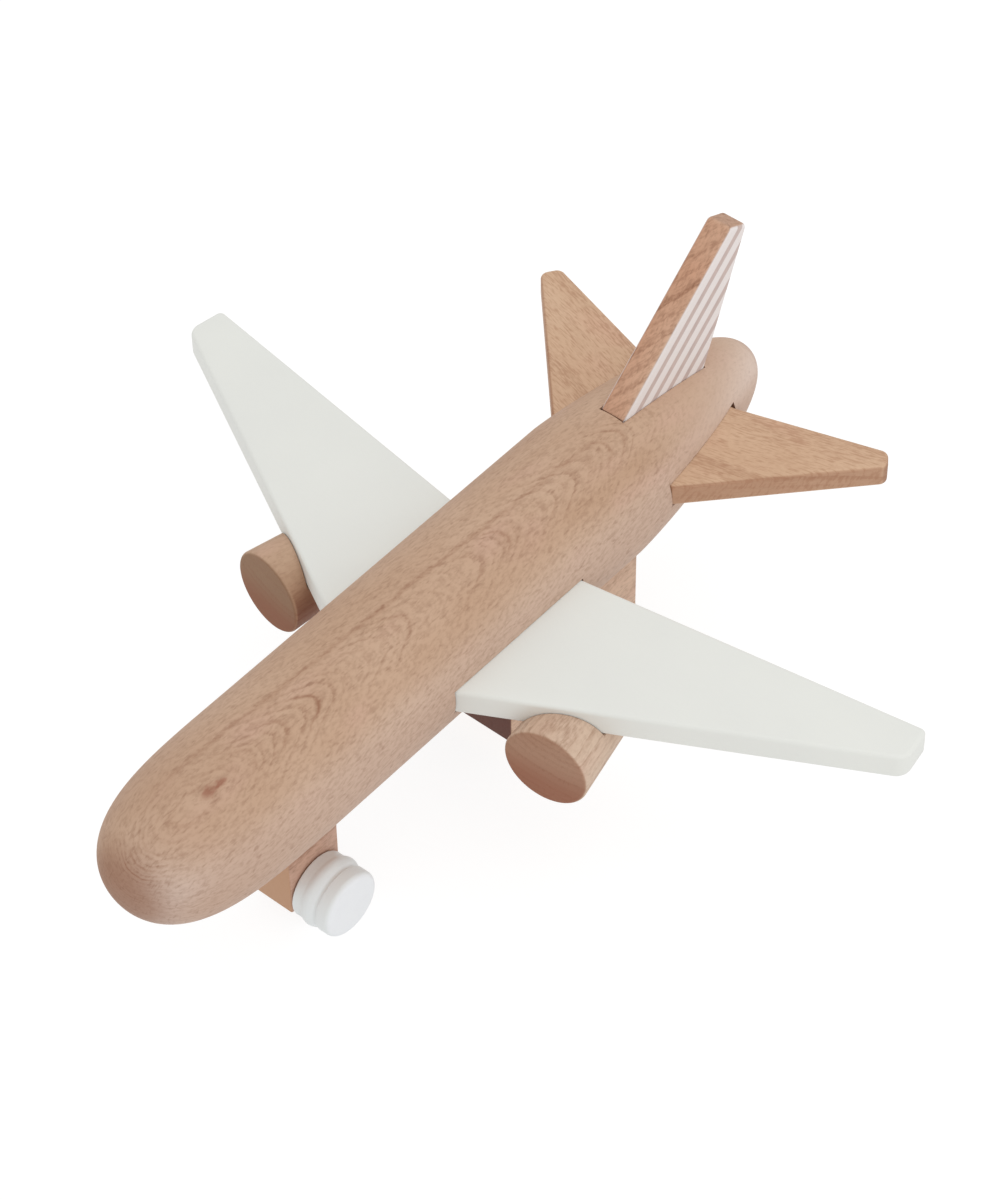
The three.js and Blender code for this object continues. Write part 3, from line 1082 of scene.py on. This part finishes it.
def engine_profile():
    """(radius, aft of the face) pairs: a tapered cylinder with a rounded rim at each end."""
    length, rim, front = ENGINE["length"], ENGINE["rim"], ENGINE["front_radius"]
    rear = front - ENGINE["taper"] * length
    quarter = math.pi / 2
    face_steps = 6
    side_steps = 12
    profile = [(0, 0)]
    profile += [((front - rim) * i / face_steps, 0) for i in range(1, face_steps)]
    profile += arc((front - rim, rim), rim, -quarter, 0, EDGE_STEPS)
    for i in range(1, side_steps):
        share = i / side_steps
        profile.append((front + (rear - front) * share, rim + (length - 2 * rim) * share))
    profile += arc((rear - rim, length - rim), rim, 0, quarter, EDGE_STEPS)
    profile.append((0, length))
    return profile


def make_engine(label, side):
    splayed = Matrix.Rotation(side * ENGINE["splay"], 4, "Z")
    place = Vector((side * ENGINE["outboard"], ENGINE["front"], AXIS_HEIGHT + ENGINE["height"]))
    turn = Matrix.Translation(place) @ splayed @ LYING
    name = f"{label}_engine_pod"
    piece = add_object(name, lathe(name, engine_profile(), SEGMENTS, turn))
    cut(piece, [wing_seat(side), peg_hole(f"{label}_engine_dowel")])
    complete(piece, engine_beech(label, side), "airframe", f"{label}_engine")


# ---------------------------------------------------------------- landing gear

def axle_radius(label):
    low, high = box_mm(f"{label}_axle")
    return (high.z - low.z) / 2


def make_gear_block(label):
    """A block that reaches up to the fuselage, hollowed for it and bored for the axle."""
    low, high = box_mm(f"{label}_gear_block")
    name = f"{label}_gear_strut"
    piece = add_object(name, block(name, low, (high.x, high.y, AXIS_HEIGHT)))
    soften(piece, BLOCK_EDGE)
    wheel_low, wheel_high = box_mm(f"port_{label}_wheel")
    axle = (wheel_low + wheel_high) / 2
    bore_radius = axle_radius(label) + HOLE_GAP
    seat_radius = BODY_RADIUS + SEAT_GAP
    nose, tail = (0, NOSE_TIP, AXIS_HEIGHT), (0, TAIL_TIP, AXIS_HEIGHT)
    cutters = [
        rod(seat_radius, nose, tail, FUSELAGE_SEGMENTS),
        rod(bore_radius, (-CLEAR, axle.y, axle.z), (CLEAR, axle.y, axle.z)),
    ]
    cutters += [peg_hole(node) for node in BLOCK_PEGS[label]]
    cut(piece, cutters)
    material = block_beech(label, (low + high) / 2)
    complete(piece, material, "airframe", f"{label}_gear_block")


def wheel_profile(radius, width, bore):
    """(radius, distance outboard of the inner face) pairs, from the blind bore to the outer face."""
    edge, inner = WHEEL["outer_edge"], WHEEL["inner_edge"]
    start, middle, end = WHEEL["ring_start"], WHEEL["ring_end"], WHEEL["groove_end"]
    base = radius - WHEEL["ring_height"]
    quarter = math.pi / 2
    profile = [(0, WHEEL["bore_depth"]), (bore, WHEEL["bore_depth"]), (bore, 0)]
    profile += arc((base - inner, inner), inner, -quarter, 0, EDGE_STEPS // 2)
    ring_steps = 20
    for i in range(ring_steps):
        share = i / ring_steps
        rise = WHEEL["ring_height"] * math.sin(share * math.pi)
        profile.append((base + rise, start + (middle - start) * share))
    groove_steps = 8
    for i in range(groove_steps + 1):
        share = i / groove_steps
        depth = WHEEL["groove_depth"] * math.sin(share * math.pi)
        profile.append((base - depth, middle + (end - middle) * share))
    profile += arc((base - edge, width - edge), edge, 0, quarter, CORNER_STEPS)
    profile.append((0, width))
    return profile


def make_wheel(label, side_name, side, plastic):
    node = f"{side_name}_{label}_wheel"
    low, high = box_mm(node)
    centre = (low + high) / 2
    radius = (high.z - low.z) / 2
    width = high.x - low.x
    bore = axle_radius(label) + SLOT_GAP
    inner_face = low.x if side > 0 else high.x
    outboard = Matrix.Rotation(side * math.pi / 2, 4, "Y")
    turn = Matrix.Translation((inner_face, centre.y, centre.z)) @ outboard
    name = f"{node}_rim"
    piece = add_object(name, lathe(name, wheel_profile(radius, width, bore), SEGMENTS, turn))
    complete(piece, plastic, f"{label}_wheels", node)


# ---------------------------------------------------------------- the airplane

def carry_over(node, material):
    """Keeps a CAD node as it is, with a finish of its own."""
    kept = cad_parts[node]
    kept.data.materials.clear()
    kept.data.materials.append(material)


def make_airplane():
    make_fuselage()
    make_fin()
    paint = wing_paint()
    plastic = wheel_plastic()
    pegs = peg_beech()
    steel = axle_steel()
    for label, side in SIDES:
        make_wing(label, side, paint)
        make_stabilizer(label, side)
        make_engine(label, side)
        carry_over(f"{label}_engine_dowel", pegs)
    for label, block_pegs in BLOCK_PEGS.items():
        make_gear_block(label)
        carry_over(f"{label}_axle", steel)
        for node in block_pegs:
            carry_over(node, pegs)
        for side_name, side in SIDES:
            make_wheel(label, side_name, side, plastic)


# ---------------------------------------------------------------- floor, light and camera

def light_and_look(tree, socket, light, look):
    """Drives a strength: light is what it gives the airplane, and look what the camera sees."""
    rays = tree.nodes.new("ShaderNodeLightPath")
    chosen = tree.nodes.new("ShaderNodeMapRange")
    chosen.inputs["To Min"].default_value = light
    chosen.inputs["To Max"].default_value = look
    tree.links.new(rays.outputs["Is Camera Ray"], chosen.inputs["Value"])
    tree.links.new(chosen.outputs["Result"], socket)


def make_floor():
    """A plain pale floor, lit from within like a light table, so that its shadows stay faint.

    It looks brighter to the camera than to the airplane, whose undersides stay in shade.
    It reaches half a width, in metres, each way.
    """
    half = 5
    grey = 0.22
    corners = [(-half, -half, 0), (half, -half, 0), (half, half, 0), (-half, half, 0)]
    mesh = bpy.data.meshes.new("floor")
    mesh.from_pydata(corners, [], [(0, 1, 2, 3)])
    floor = add_object("floor", mesh)
    floor.location.z = cad_low.z
    graph = Graph("floor_paper")
    graph.surface.inputs["Emission Color"].default_value = (1, 1, 1, 1)
    emission = graph.surface.inputs["Emission Strength"]
    light_and_look(graph.tree, emission, light=0.64, look=0.84)
    graph.finish((grey, grey, grey, 1), roughness=0.9)
    mesh.materials.append(graph.material)


def add_softbox(name, place, size, power):
    """A round soft light turned towards the airplane."""
    middle = Vector((0, 0, 0.04))
    data = bpy.data.lights.new(name, "AREA")
    data.shape = "DISK"
    data.size = size
    data.energy = power
    lamp = bpy.data.objects.new(name, data)
    bpy.context.scene.collection.objects.link(lamp)
    lamp.location = place
    lamp.rotation_mode = "QUATERNION"
    lamp.rotation_quaternion = (middle - Vector(place)).to_track_quat("-Z", "Y")


def make_light():
    world = bpy.data.worlds.new("studio")
    bpy.context.scene.world = world
    world.use_nodes = True
    background = world.node_tree.nodes["Background"]
    background.inputs["Color"].default_value = (1, 1, 1, 1)
    light_and_look(world.node_tree, background.inputs["Strength"], light=0.8, look=1.0)
    add_softbox("overhead", place=(0.25, 0.25, 1.1), size=1.0, power=1.8)
    add_softbox("port_side", place=(1.0, -0.25, 0.45), size=0.8, power=1.0)


def make_camera():
    """The camera stands off the nose's port side and looks down at the airplane, as in the photo."""
    azimuth = math.radians(40.708)
    elevation = math.radians(47.310)
    roll = math.radians(-0.834)
    distance = 0.80268
    target = Vector((0.015796, -0.002859, 0.060717))
    back = Vector((
        math.sin(azimuth) * math.cos(elevation),
        -math.cos(azimuth) * math.cos(elevation),
        math.sin(elevation),
    ))
    data = bpy.data.cameras.new("camera")
    data.lens = 118.1
    data.sensor_width = 36
    camera = bpy.data.objects.new("camera", data)
    bpy.context.scene.collection.objects.link(camera)
    camera.location = target + back * distance
    level = (-back).to_track_quat("-Z", "Y").to_matrix().to_4x4()
    turned = level @ Matrix.Rotation(roll, 4, "Z")
    camera.rotation_mode = "QUATERNION"
    camera.rotation_quaternion = turned.to_quaternion()
    bpy.context.scene.camera = camera


make_airplane()
make_floor()
make_light()
make_camera()
bpy.context.scene.view_settings.view_transform = "Standard"
